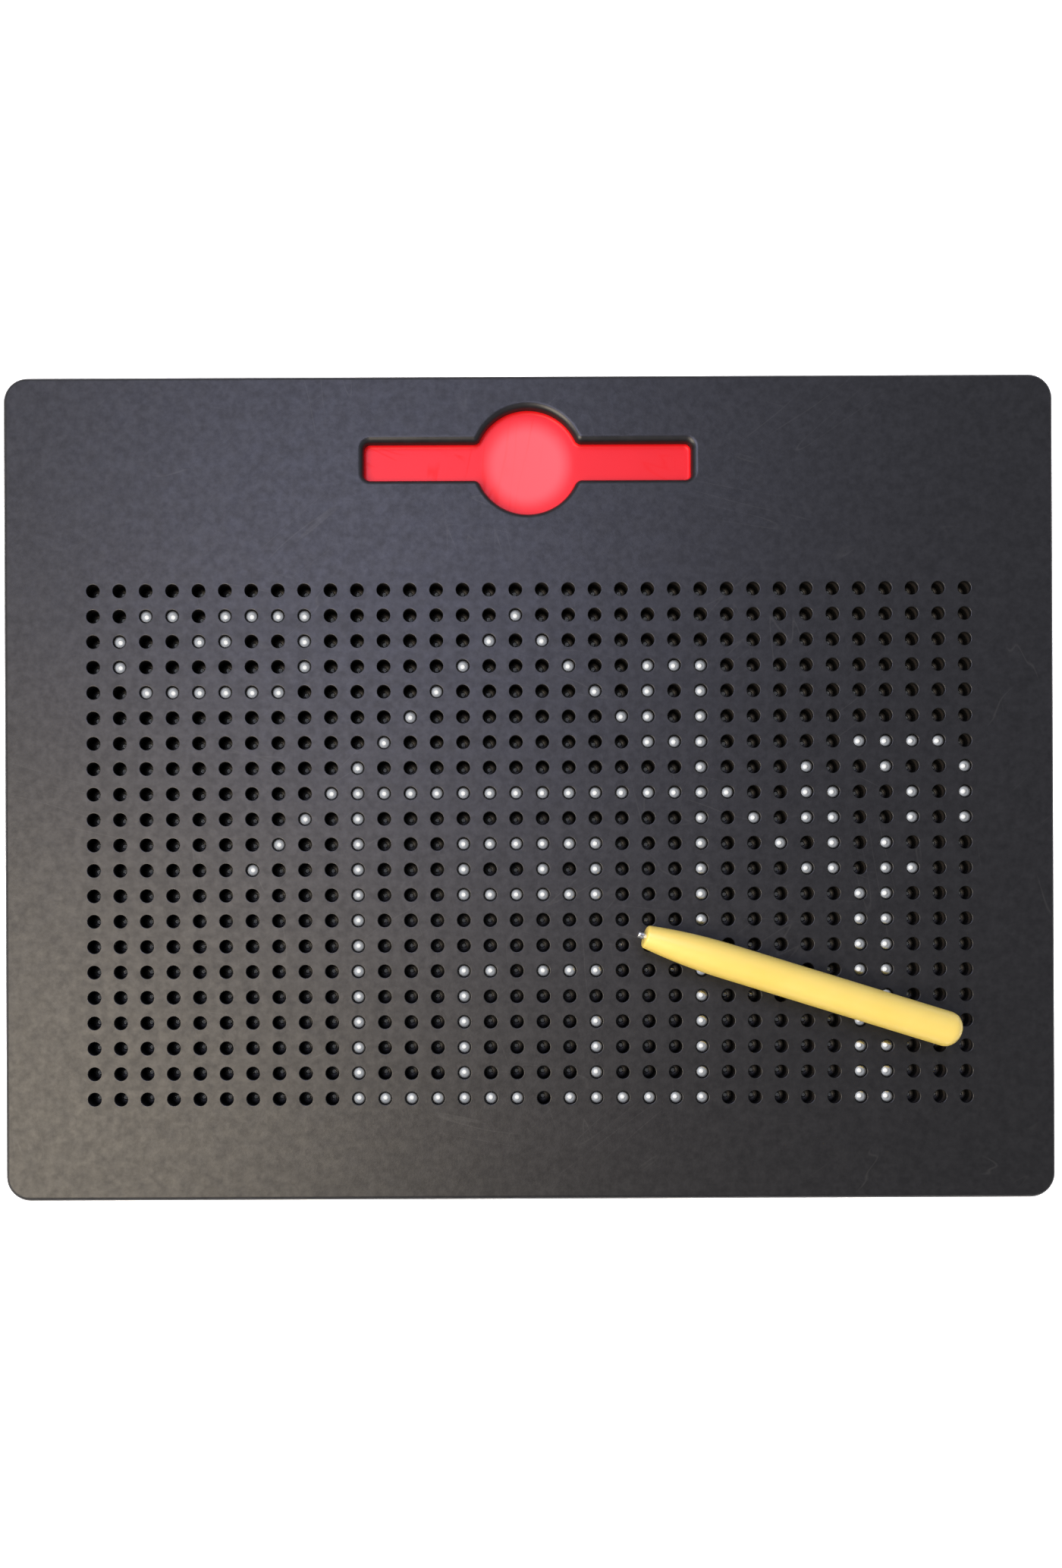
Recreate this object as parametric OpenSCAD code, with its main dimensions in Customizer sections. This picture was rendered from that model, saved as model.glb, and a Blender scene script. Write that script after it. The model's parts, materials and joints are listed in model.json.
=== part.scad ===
// Magnetic bead drawing board: a flat case of trapped steel beads and a magnetic pen.
// The board lies on its back. +X runs along the rows, +Y points to the pen recess and
// +Z out of the drawing face. The origin is on the table, under the middle of the board.
// All sizes are in millimetres.

/* [Case] */
// Length of the board, along the rows
board_l = 265; // [252:1:330]
// Width of the board, from the drawing edge to the recess edge
board_w = 208; // [202:1:270]
// Thickness of the board
board_t = 12; // [11.5:0.5:20]
// Radius of the four corners, seen from above
corner_r = 6.3; // [4:0.1:9]
// Rounding along the edge of the face
edge_r = 1.4; // [0.4:0.1:1.8]
// Thickness of the face panel
panel_t = 2; // [1.6:0.1:2.6]
// Thickness of the skirt around the case
skirt_t = 2; // [1.6:0.1:4]
// Thickness of the plate that closes the back
back_t = 1.8; // [1.2:0.1:2.2]

/* [Beads] */
// Distance between beads along a row
pitch_x = 6.65; // [6:0.05:6.9]
// Distance between rows
pitch_y = 6.4; // [6:0.05:6.7]
// Distance from the drawing edge to the first row above it
bottom_margin = 25.8; // [17:0.1:27]
// Diameter of a steel bead
bead_d = 4; // [3.4:0.1:4.8]
// How far a bead travels between its well floor and the face
bead_travel = 3; // [2:0.1:3.4]
// Diameter of the hole in the face that holds a bead back
hole_d = 3.3; // [2.8:0.1:3.9]
// Thickness of the lip left around each hole in the face
lip_t = 0.4; // [0.3:0.1:0.8]
// Thickness of the magnetic rubber sheet that holds drawn beads up
sheet_t = 1; // [0.6:0.1:1.5]
// Thickness of the floor under the bead wells
well_floor_t = 1.1; // [0.8:0.1:1.4]

/* [Pen recess] */
// Distance from the recess edge of the board to the middle of the pen slot
recess_margin = 21.5; // [19:0.1:24]
// Radius of the finger well in the middle of the slot
finger_r = 13.3; // [9:0.1:14]
// Depth of the red tray under the face panel
tray_depth = 0.8; // [0.7:0.1:2.5]
// Depth of the dish in the floor of the finger well
dish_depth = 0.5; // [0.2:0.1:0.8]
// Rounding of the slot's corners, seen from above
slot_corner_r = 1.6; // [1.2:0.1:4]
// Rounding around the opening in the face
rim = 1.6; // [0.4:0.1:1.7]
// Wall of the red tray under the opening
tray_t = 1.6; // [1.2:0.1:2]
// Rounding between the tray's walls and its floor
tray_fillet = 0.6; // [0.2:0.1:0.7]

/* [Pen] */
// Length of the pen barrel, without its metal tip
pen_l = 80.5; // [60:0.5:97]
// Diameter of the pen
pen_d = 8.8; // [7:0.1:10]
// Length of the taper towards the tip
taper_l = 21; // [12:0.5:30]
// Diameter of the blunt front end
nose_d = 5.6; // [4.6:0.1:7]
// Wall of the hollow barrel
pen_wall = 1.4; // [1:0.1:1.8]
// Rounding at the rear end of the pen
pen_end_r = 3; // [0.5:0.1:3.6]
// Bevel around the blunt front end
nose_edge = 0.7; // [0.2:0.1:0.9]
// Diameter of the magnet inside the nose
magnet_d = 3.4; // [2.5:0.1:4]
// Length of the magnet
magnet_l = 8; // [4:0.5:12]
// Diameter of the steel tip that carries the magnet's pull to the beads
tip_d = 1.8; // [1.2:0.1:2.4]
// How far the steel tip stands out of the nose
tip_out = 1.8; // [1:0.1:3]
// Where the middle of the pen lies, to the right of the board's middle
pen_x = 65.4; // [50:0.1:70]
// Where the middle of the pen lies, towards the recess from the board's middle
pen_y = -49.3; // [-55:0.1:-40]
// Turn of the pen, with its tip to the left and up
pen_turn = -17.3; // [-40:0.1:40]

/* [Fits] */
// Space between a bead and the wall of its well, all round
well_gap = 0.3; // [0.2:0.05:0.4]
// Space left between a bead and its stops
stop_gap = 0.1; // [0.05:0.05:0.2]
// Space between the pen and each side of its slot
slot_gap = 0.3; // [0.2:0.1:1.5]
// Space between the pen and each end of its slot
slot_end_gap = 0.25; // [0.2:0.05:1.5]
// Space between the resting pen and the beads under it
pen_gap = 0.15; // [0.1:0.05:0.5]
// Space between parts of the case that slide together
case_gap = 0.15; // [0.1:0.05:0.3]
// Space around the magnet, the tip and the plug in the pen
pen_fit = 0.05; // [0.02:0.01:0.1]

/* [Hidden] */
$fn = 48;
// Fineness of the long, nearly flat curves.
large_fn = 256;
eps = 0.5;

// The drawing on the board: a # is a bead pulled up to the face, a dot one in its well.
picture = [
    "..................................",
    "..##.####.......#.................",
    ".#..##..#......#.#................",
    ".#......#.....#...#..###..........",
    "..######.....#.....#.#.#..........",
    "............#.......##.#..........",
    "...........#.........###.....####.",
    "..........#............#...#..#..#",
    ".........################..##..#.#",
    "........#.#............#.#.##..#.#",
    ".......#..#...######...#..#.#.#...",
    "......#...#...#..#.#...#...##.##..",
    "..........#...######...#.....##...",
    "..........#............#.....##...",
    "..........#............#.....##...",
    "..........#...##.###...#.....##...",
    "..........#...#........#.....##...",
    "..........#...#....#...#.....##...",
    "..........#...#....#...#.....##...",
    "..........#...#....#...#.....##...",
    "..........#######.######.....##..."
];
rows = len(picture);
cols = len(picture[0]);

// Heights of the stack, down from the face.
panel_z = board_t - panel_t;
sheet_z = panel_z - sheet_t;
hole_r = hole_d / 2;
bead_r = bead_d / 2;
well_d = bead_d + 2 * well_gap;
reach = bead_r + stop_gap;
up_z = board_t - lip_t - sqrt(reach * reach - hole_r * hole_r);
down_z = up_z - bead_travel;
bead_stand = up_z + bead_r - board_t;
well_floor_z = down_z - bead_r - stop_gap;
well_block_z = well_floor_z - well_floor_t;

// Places of the beads.
grid_l = (cols - 1) * pitch_x;
grid_w = (rows - 1) * pitch_y;
first_row_y = -board_w / 2 + bottom_margin + grid_w;
grid_y = first_row_y - grid_w / 2;
block_margin = 2.7;
grid_edge = well_d / 2 + block_margin;
block_l = grid_l + 2 * grid_edge;
block_w = grid_w + 2 * grid_edge;

// Sizes of the recess, which follow the pen.
slot_y = board_w / 2 - recess_margin;
slot_w = pen_d + 2 * slot_gap;
slot_l = pen_l + tip_out + 2 * slot_end_gap;
slot_floor_z = panel_z - tray_depth;
rim_r = min(rim, panel_t - 0.3);
flange = 3;
flange_t = 1.2;
dish_edge = 1;

// Posts on the back plate that stand in sockets under the face. The sockets run a
// little into the skirt.
post_d = 4.6;
post_top_gap = 0.8;
socket_t = 1.4;
socket_d = post_d + 2 * case_gap + 2 * socket_t;
socket_lift = 2.2;
socket_z = back_t + socket_lift;
socket_sink = 0.6;
socket_clear = 2;
post_x = board_l / 2 - skirt_t - socket_d / 2 + socket_sink;
post_y = board_w / 2 - skirt_t - socket_d / 2 + socket_sink;
post_in_x = slot_l / 2 + tray_t + flange + socket_d / 2 + socket_clear;
posts = [
    [-post_x, -post_y], [0, -post_y], [post_x, -post_y],
    [-post_x, grid_y], [post_x, grid_y],
    [-post_x, post_y], [-post_in_x, post_y], [post_in_x, post_y], [post_x, post_y]
];
rib_t = 1.6;
rib_count_x = 9;
rib_count_y = 5;

// Places along the pen, from its rear end. The wide bore stops a little before the taper,
// and the magnet's bore stops short of the nose.
barrel_r = pen_d / 2;
end_r = min(pen_end_r, barrel_r - 0.2);
bore_r = barrel_r - pen_wall;
straight_l = pen_l - taper_l;
bevel_z = pen_l - nose_edge;
bore_short = 1;
bore_end = straight_l - bore_short;
nose_floor_t = 3;
magnet_end = pen_l - nose_floor_t;
plug_l = 5;
nose_drop = (pen_d - nose_d) / 2;
curve_r = (taper_l * taper_l + nose_drop * nose_drop) / (2 * nose_drop);

// Colours of the real materials.
black_abs = [0.16, 0.16, 0.17];
grey_abs = [0.10, 0.10, 0.11];
red_abs = [0.93, 0.16, 0.17];
yellow_abs = [0.98, 0.80, 0.30];
rubber = [0.12, 0.10, 0.09];
steel = [0.82, 0.83, 0.85];

// Place of a bead in the grid, with rows counted from the recess and columns from the left.
function bead_x(col) = (col - 1) * pitch_x - grid_l / 2;
function bead_y(row) = first_row_y - (row - 1) * pitch_y;
function is_up(row, col) = picture[row - 1][col - 1] == "#";
function beads_in(row, up) = len([for (col = [1 : cols]) if (is_up(row, col) == up) col]);
function taper_r(z) = barrel_r - curve_r + sqrt(curve_r * curve_r - pow(z - straight_l, 2));
function two_figures(n) = n < 10 ? str("0", n) : str(n);
function bead_node(row, up) = str(up ? "drawn_beads_row_" : "resting_beads_row_", two_figures(row));

// A block with rounded corners. The child is the section of its wall, drawn outward
// from the centre line of a corner rounding of radius r.
module rounded_block(l, w, r, low, high) {
    in_l = l - 2 * r;
    in_w = w - 2 * r;
    side = [[1, 1], [-1, 1], [-1, -1], [1, -1]];
    for (k = [0 : 3])
        translate([side[k][0] * in_l / 2, side[k][1] * in_w / 2, 0])
            rotate(90 * k) rotate_extrude(angle = 90) children();
    for (turn = [0, 180])
        rotate(turn) {
            translate([in_l / 2, in_w / 2, 0]) rotate([90, 0, 0]) linear_extrude(in_w) children();
            translate([-in_l / 2, in_w / 2, 0]) rotate([90, 0, 90]) linear_extrude(in_l) children();
        }
    translate([-in_l / 2, -in_w / 2, low]) cube([in_l, in_w, high - low]);
}

// Section of a wall with square edges.
module plain_section(r, low, high) {
    translate([0, low]) square([r, high - low]);
}

// Section of a wall whose upper outer edge is rounded by e.
module top_rounded_section(r, low, high, e) {
    translate([0, low]) square([r, high - e - low]);
    translate([0, low]) square([r - e, high - low]);
    translate([r - e, high - e]) circle(e);
}

// Section of a wall whose lower outer edge is rounded by e.
module bottom_rounded_section(r, low, high, e) {
    translate([0, low + e]) square([r, high - e - low]);
    translate([0, low]) square([r - e, high - low]);
    translate([r - e, low + e]) circle(e);
}

// Section of a cut that rounds the edge of a hole of radius r by e at the height of the face.
module rim_section(r, face, e) {
    difference() {
        translate([0, face - e]) square([r + e, e + eps]);
        translate([r + e, face - e]) circle(e);
    }
}

module plain_block(l, w, r, low, high) {
    rounded_block(l, w, r, low, high) plain_section(r, low, high);
}

// Outline of the recess at a growth beyond the pen slot and the finger well.
module recess_block(grow, low, high) {
    translate([0, slot_y, 0]) {
        plain_block(slot_l + 2 * grow, slot_w + 2 * grow, slot_corner_r + grow, low, high);
        translate([0, 0, low]) cylinder(r = finger_r + grow, h = high - low);
    }
}

// The cut that rounds the edge of the recess in the face.
module recess_rim() {
    translate([0, slot_y, 0]) {
        rounded_block(slot_l, slot_w, slot_corner_r, board_t - rim_r, board_t + eps)
            rim_section(slot_corner_r, board_t, rim_r);
        rotate_extrude() rim_section(finger_r, board_t, rim_r);
    }
}

// Round holes on the bead grid.
module grid_holes(d, low, high) {
    for (row = [1 : rows], col = [1 : cols])
        translate([bead_x(col), bead_y(row), low]) cylinder(d = d, h = high - low);
}

module at_posts() {
    for (p = posts) translate([p[0], p[1], 0]) children();
}

// Black shell: the face, the skirt around the case and the sockets under the face.
module front_cover() {
    color(black_abs)
        difference() {
            rounded_block(board_l, board_w, corner_r, 0, board_t)
                top_rounded_section(corner_r, 0, board_t, edge_r);
            difference() {
                plain_block(board_l - 2 * skirt_t, board_w - 2 * skirt_t, corner_r - skirt_t,
                            -eps, panel_z);
                at_posts() translate([0, 0, socket_z]) cylinder(d = socket_d, h = board_t);
            }
            at_posts() translate([0, 0, -eps]) cylinder(d = post_d + 2 * case_gap, h = panel_z + eps);
            recess_block(0, sheet_z, board_t + eps);
            recess_rim();
            grid_holes(hole_d, panel_z, board_t + eps);
            grid_holes(well_d, sheet_z, board_t - lip_t);
        }
}

// Magnetic rubber sheet under the face, which holds the drawn beads up.
module magnet_sheet() {
    color(rubber)
        difference() {
            translate([-block_l / 2, grid_y - block_w / 2, sheet_z]) cube([block_l, block_w, sheet_t]);
            grid_holes(well_d, sheet_z - eps, panel_z + eps);
        }
}

// Moulded block with one well for each bead.
module bead_wells() {
    color(grey_abs)
        difference() {
            translate([-block_l / 2, grid_y - block_w / 2, well_block_z])
                cube([block_l, block_w, sheet_z - well_block_z]);
            grid_holes(well_d, well_floor_z, sheet_z + eps);
        }
}

// Red tray that makes the floor of the pen slot and of the finger well.
module pen_tray() {
    dish_in_r = finger_r - tray_fillet - dish_edge;
    dish_r = (dish_in_r * dish_in_r + dish_depth * dish_depth) / (2 * dish_depth);
    color(red_abs)
        difference() {
            union() {
                recess_block(tray_t, slot_floor_z - tray_t, panel_z);
                recess_block(tray_t + flange, panel_z - flange_t, panel_z);
            }
            translate([0, slot_y, 0]) {
                rounded_block(slot_l, slot_w, slot_corner_r, slot_floor_z, panel_z + eps)
                    bottom_rounded_section(slot_corner_r, slot_floor_z, panel_z + eps, tray_fillet);
                rotate_extrude()
                    bottom_rounded_section(finger_r, slot_floor_z, panel_z + eps, tray_fillet);
                rotate_extrude()
                    intersection() {
                        translate([0, slot_floor_z - dish_depth + dish_r])
                            circle(dish_r, $fn = large_fn);
                        translate([0, slot_floor_z - tray_t]) square([dish_in_r, tray_t + eps]);
                    }
            }
        }
}

// Red plate that closes the back, with ribs under the wells and the tray, and posts.
module back_plate() {
    plate_l = board_l - 2 * (skirt_t + case_gap);
    plate_w = board_w - 2 * (skirt_t + case_gap);
    rib_h = well_block_z - back_t;
    tray_h = slot_floor_z - tray_t - back_t;
    color(red_abs) {
        plain_block(plate_l, plate_w, corner_r - skirt_t - case_gap, 0, back_t);
        for (k = [0 : rib_count_x - 1])
            translate([(k / (rib_count_x - 1) - 0.5) * (block_l - rib_t) - rib_t / 2,
                       grid_y - block_w / 2, back_t - eps])
                cube([rib_t, block_w, rib_h + eps]);
        for (k = [0 : rib_count_y - 1])
            translate([-block_l / 2,
                       grid_y + (k / (rib_count_y - 1) - 0.5) * (block_w - rib_t) - rib_t / 2, back_t - eps])
                cube([block_l, rib_t, rib_h + eps]);
        for (x = [-slot_l / 3, 0, slot_l / 3])
            translate([x - rib_t / 2, slot_y - slot_w / 2, back_t - eps])
                cube([rib_t, slot_w, tray_h + eps]);
        at_posts() translate([0, 0, back_t - eps])
            cylinder(d = post_d, h = panel_z - post_top_gap - back_t + eps);
    }
}

// Steel beads of one row that are up at the face, or down in their wells.
module bead_row(row, up) {
    color(steel)
        for (col = [1 : cols])
            if (is_up(row, col) == up)
                translate([bead_x(col), bead_y(row), up ? up_z : down_z]) sphere(bead_r);
}

// Puts the pen where it lies, from its own frame: axis along Z, rear end at 0.
module lay_pen() {
    translate([pen_x, pen_y, board_t + bead_stand + pen_gap + pen_d / 2])
        rotate([0, 0, pen_turn]) rotate([0, -90, 0])
            translate([0, 0, -(pen_l + tip_out) / 2]) children();
}

// Half section of the pen's outside: a straight barrel with a round rear end and a
// taper that curves in to a blunt, bevelled nose.
module pen_outline() {
    intersection() {
        union() {
            translate([0, end_r]) square([barrel_r, straight_l - end_r]);
            square([barrel_r - end_r, straight_l]);
            translate([barrel_r - end_r, end_r]) circle(end_r);
            translate([0, straight_l])
                intersection() {
                    square([barrel_r, taper_l]);
                    translate([barrel_r - curve_r, 0]) circle(curve_r, $fn = large_fn);
                }
        }
        polygon([[0, 0], [barrel_r, 0], [barrel_r, straight_l], [barrel_r, bevel_z],
                 [taper_r(bevel_z), bevel_z], [nose_d / 2 - nose_edge, pen_l], [0, pen_l]]);
    }
}

// Hollow yellow barrel, open at the rear end, with a seat for the magnet in its nose.
module pen_barrel() {
    color(yellow_abs)
        lay_pen()
            difference() {
                rotate_extrude() pen_outline();
                translate([0, 0, -eps]) cylinder(r = bore_r, h = bore_end + eps);
                translate([0, 0, bore_end - eps])
                    cylinder(d = magnet_d + 2 * pen_fit, h = magnet_end - bore_end + eps);
                translate([0, 0, magnet_end - eps]) cylinder(d = tip_d + 2 * pen_fit, h = pen_l);
            }
}

// Yellow plug that closes the rear end of the barrel.
module pen_plug() {
    color(yellow_abs)
        lay_pen()
            rotate_extrude()
                intersection() {
                    pen_outline();
                    square([bore_r - pen_fit, plug_l]);
                }
}

// Magnet in the nose of the pen.
module pen_magnet() {
    color(steel)
        lay_pen() translate([0, 0, magnet_end - magnet_l]) cylinder(d = magnet_d, h = magnet_l);
}

// Steel tip that stands on the magnet and reaches out of the nose.
module pen_tip() {
    color(steel)
        lay_pen() translate([0, 0, magnet_end]) cylinder(d = tip_d, h = pen_l + tip_out - magnet_end);
}

front_cover();
magnet_sheet();
bead_wells();
pen_tray();
back_plate();
pen_barrel();
pen_plug();
pen_magnet();
pen_tip();
for (row = [1 : rows], up = [true, false])
    bead_row(row, up);
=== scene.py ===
import json
import math

import bpy
import numpy as np
from mathutils import Matrix, Vector
from mathutils.geometry import delaunay_2d_cdt


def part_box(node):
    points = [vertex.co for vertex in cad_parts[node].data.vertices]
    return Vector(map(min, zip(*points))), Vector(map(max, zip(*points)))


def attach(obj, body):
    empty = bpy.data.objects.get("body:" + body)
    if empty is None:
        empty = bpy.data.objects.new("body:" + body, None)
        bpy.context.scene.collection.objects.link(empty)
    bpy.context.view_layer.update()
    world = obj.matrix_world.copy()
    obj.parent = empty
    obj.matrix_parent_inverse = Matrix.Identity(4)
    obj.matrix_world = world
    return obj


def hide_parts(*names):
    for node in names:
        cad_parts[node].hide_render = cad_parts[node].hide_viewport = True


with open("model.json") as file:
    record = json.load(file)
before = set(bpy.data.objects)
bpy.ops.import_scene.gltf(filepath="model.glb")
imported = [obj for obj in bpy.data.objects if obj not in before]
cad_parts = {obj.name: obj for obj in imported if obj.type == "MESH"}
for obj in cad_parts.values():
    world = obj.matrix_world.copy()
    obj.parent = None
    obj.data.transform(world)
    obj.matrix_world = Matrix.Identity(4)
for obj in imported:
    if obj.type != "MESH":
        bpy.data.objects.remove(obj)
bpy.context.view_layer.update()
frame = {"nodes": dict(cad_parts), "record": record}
mm = 0.001


# Small tools

# One colour written as sRGB hex, turned to the linear values that shaders take.
def fromHex(code):
    parts = [int(code[i:i + 2], 16) / 255 for i in (1, 3, 5)]
    return [c / 12.92 if c <= 0.04045 else ((c + 0.055) / 1.055) ** 2.4 for c in parts] + [1.0]


# Adds one node. An input takes a value or another node's socket.
def addNode(tree, kind, inputs=None, **settings):
    made = tree.nodes.new(kind)
    for key, value in settings.items():
        setattr(made, key, value)
    for key, value in (inputs or {}).items():
        if isinstance(value, bpy.types.NodeSocket):
            tree.links.new(value, made.inputs[key])
        else:
            made.inputs[key].default_value = value
    return made


# A new material: the builder adds its nodes and gives back its shader.
def newMaterial(name, build):
    material = bpy.data.materials.new(name)
    material.use_nodes = True
    tree = material.node_tree
    tree.nodes.clear()
    place = addNode(tree, "ShaderNodeTexCoord").outputs["Object"]
    shader = build(tree, place)
    addNode(tree, "ShaderNodeOutputMaterial", {"Surface": shader.outputs["BSDF"]})
    return material


def makeObject(name, verts, faces, material=None, body=None):
    mesh = bpy.data.meshes.new(name)
    mesh.from_pydata([tuple(v) for v in verts], [], faces)
    mesh.update()
    piece = bpy.data.objects.new(name, mesh)
    bpy.context.scene.collection.objects.link(piece)
    if material:
        mesh.materials.append(material)
    if body:
        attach(piece, body)
    return piece


# Joins rings of equally many points into a skin, each ring above or inside the one before.
def skinRings(rings, caps=True, closed=False):
    count = len(rings[0])
    verts = [point for ring in rings for point in ring]
    faces = []
    for level in range(len(rings) - (0 if closed else 1)):
        low, high = level * count, (level + 1) % len(rings) * count
        for k in range(count):
            after = (k + 1) % count
            faces.append((low + k, low + after, high + after, high + k))
    if caps:
        faces.append(tuple(reversed(range(count))))
        faces.append(tuple(range((len(rings) - 1) * count, len(rings) * count)))
    return verts, faces


def joinSkins(skins):
    verts, faces = [], []
    for ownVerts, ownFaces in skins:
        base = len(verts)
        verts += ownVerts
        faces += [tuple(base + i for i in face) for face in ownFaces]
    return verts, faces


# Points of an arc in a plane, from one angle to another in degrees.
def arcPoints(cx, cy, radius, start, end, steps):
    angles = [math.radians(start + (end - start) * k / steps) for k in range(steps + 1)]
    return [(cx + radius * math.cos(a), cy + radius * math.sin(a)) for a in angles]


# A quarter round as (inward, upward) shares of its radius, from upright to level.
def quarterRound(steps):
    return [(1 - math.cos(a), math.sin(a)) for a in np.linspace(0, math.pi / 2, steps + 1)]


def roundedRectangle(halfL, halfW, radius, steps):
    points = []
    for turn, (sx, sy) in enumerate([(1, 1), (-1, 1), (-1, -1), (1, -1)]):
        points += arcPoints(sx * (halfL - radius), sy * (halfW - radius), radius,
                            90 * turn, 90 * turn + 90, steps)
    return points


def atHeight(points, z):
    return [(x, y, z) for x, y in points]


def roundRing(cx, cy, radius, z, segments):
    return atHeight([(cx + radius * math.cos(a), cy + radius * math.sin(a))
                     for a in np.linspace(0, 2 * math.pi, segments, endpoint=False)], z)


def applyModifier(piece, modifier):
    graph = bpy.context.evaluated_depsgraph_get()
    done = bpy.data.meshes.new_from_object(piece.evaluated_get(graph))
    piece.modifiers.remove(modifier)
    old = piece.data
    piece.data = done
    bpy.data.meshes.remove(old)


# Cuts one closed mesh out of another, or joins it on.
def combine(target, other, operation="DIFFERENCE"):
    modifier = target.modifiers.new("combine", "BOOLEAN")
    modifier.operation = operation
    modifier.solver = "MANIFOLD"
    modifier.object = other
    applyModifier(target, modifier)
    bpy.data.objects.remove(other)


# Smooth shading that keeps flat faces flat, and edges sharper than the angle crisp.
def smoothPiece(piece, angle):
    piece.data.shade_smooth()
    piece.data.set_sharp_from_angle(angle=math.radians(angle))
    modifier = piece.modifiers.new("keep flats", "WEIGHTED_NORMAL")
    modifier.keep_sharp = True
    modifier.weight = 90
    applyModifier(piece, modifier)


# Where things are, read from the frame

caseLow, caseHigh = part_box("front_cover")
trayLow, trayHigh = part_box("pen_tray")
sheetLow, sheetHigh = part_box("magnet_sheet")
firstLow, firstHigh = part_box("resting_beads_row_01")
lastLow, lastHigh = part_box("resting_beads_row_21")

columnCount = 34
rowCount = 21
beadR = (firstHigh.z - firstLow.z) / 2
firstX = firstLow.x + beadR
pitchX = (firstHigh.x - firstLow.x - 2 * beadR) / (columnCount - 1)
firstY = (firstLow.y + firstHigh.y) / 2
pitchY = (firstY - (lastLow.y + lastHigh.y) / 2) / (rowCount - 1)
faceZ = caseHigh.z
recessY = caseHigh.y - 21.5 * mm
print("frame read: pitch", round(pitchX / mm, 2), round(pitchY / mm, 2), "bead", round(2 * beadR / mm, 2))


# Camera: straight above the board, nearer to its lower left, with the board shifted into view

cameraSizes = {
    "foot": (-19 * mm, -36.7 * mm),
    "height": 230 * mm,
    "frameLong": 394.6 * mm,  # what the long side of the image spans at the face
    "frameMiddle": (0.4 * mm, 0.8 * mm),
    "roll": -0.24,
}


def makeCamera():
    c = cameraSizes
    roll = math.radians(c["roll"])
    offset = Vector(c["frameMiddle"]) - Vector(c["foot"])
    offset.rotate(Matrix.Rotation(-roll, 2))
    data = bpy.data.cameras.new("camera")
    data.sensor_width = 36
    data.lens = data.sensor_width * c["height"] / c["frameLong"]
    data.shift_x = offset.x / c["frameLong"]
    data.shift_y = offset.y / c["frameLong"]
    data.clip_start = 10 * mm
    camera = bpy.data.objects.new("camera", data)
    camera.location = (*c["foot"], faceZ + c["height"])
    camera.rotation_euler = (0, 0, roll)
    bpy.context.scene.collection.objects.link(camera)
    bpy.context.scene.camera = camera


makeCamera()
print("camera set")


# Materials

# Thin scratches: wavy contour lines of a stretched noise, kept only inside a few patches.
def scratchMask(tree, place, turns, length, spacing, width, patchSize, patchFrom):
    total = None
    for turn in turns:
        turned = addNode(tree, "ShaderNodeVectorRotate", {"Vector": place, "Angle": math.radians(turn)},
                         rotation_type="Z_AXIS")
        stretched = addNode(tree, "ShaderNodeVectorMath",
                            {0: turned.outputs[0], 1: (1 / length, 1 / spacing, 1 / spacing)},
                            operation="MULTIPLY")
        streak = addNode(tree, "ShaderNodeTexNoise",
                         {"Vector": stretched.outputs[0], "Scale": 1.0, "Detail": 1.0})
        away = addNode(tree, "ShaderNodeMath", {0: streak.outputs["Fac"], 1: 0.5}, operation="SUBTRACT")
        near = addNode(tree, "ShaderNodeMath", {0: away.outputs[0]}, operation="ABSOLUTE")
        line = addNode(tree, "ShaderNodeMapRange", {
            "Value": near.outputs[0], "From Min": 0.0, "From Max": width / spacing,
            "To Min": 1.0, "To Max": 0.0})
        patch = addNode(tree, "ShaderNodeTexNoise", {"Vector": turned.outputs[0], "Scale": 1 / patchSize})
        inside = addNode(tree, "ShaderNodeMapRange", {"Value": patch.outputs["Fac"], "From Min": patchFrom,
                                                      "From Max": patchFrom + 0.08})
        kept = addNode(tree, "ShaderNodeMath", {0: line.outputs[0], 1: inside.outputs[0]},
                       operation="MULTIPLY")
        if total:
            kept = addNode(tree, "ShaderNodeMath", {0: kept.outputs[0], 1: total.outputs[0]},
                           operation="MAXIMUM")
        total = kept
    return total.outputs[0]


blackAbsLook = {
    "colour": "#0f0f11",
    "cloudColour": "#171719",
    "scratchColour": "#262626",
    "scratchTurns": (12, 78, 141),
    "scratchSizes": (60 * mm, 7 * mm, 0.05 * mm, 26 * mm),  # length, spacing, width, patch
    "scratchFrom": 0.6,
    "roughness": (0.47, 0.54),
    "gloss": (0.44, 0.62),  # the pits of the grain swallow more of the shine in some spots
    "grain": 0.55 * mm,  # the real spark grain is near 0.1 mm; drawn this coarse so that it shows
    "grainDepth": 0.02 * mm,
    "mottle": 1.6 * mm,
    "cloud": 4 * mm,
}


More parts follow.
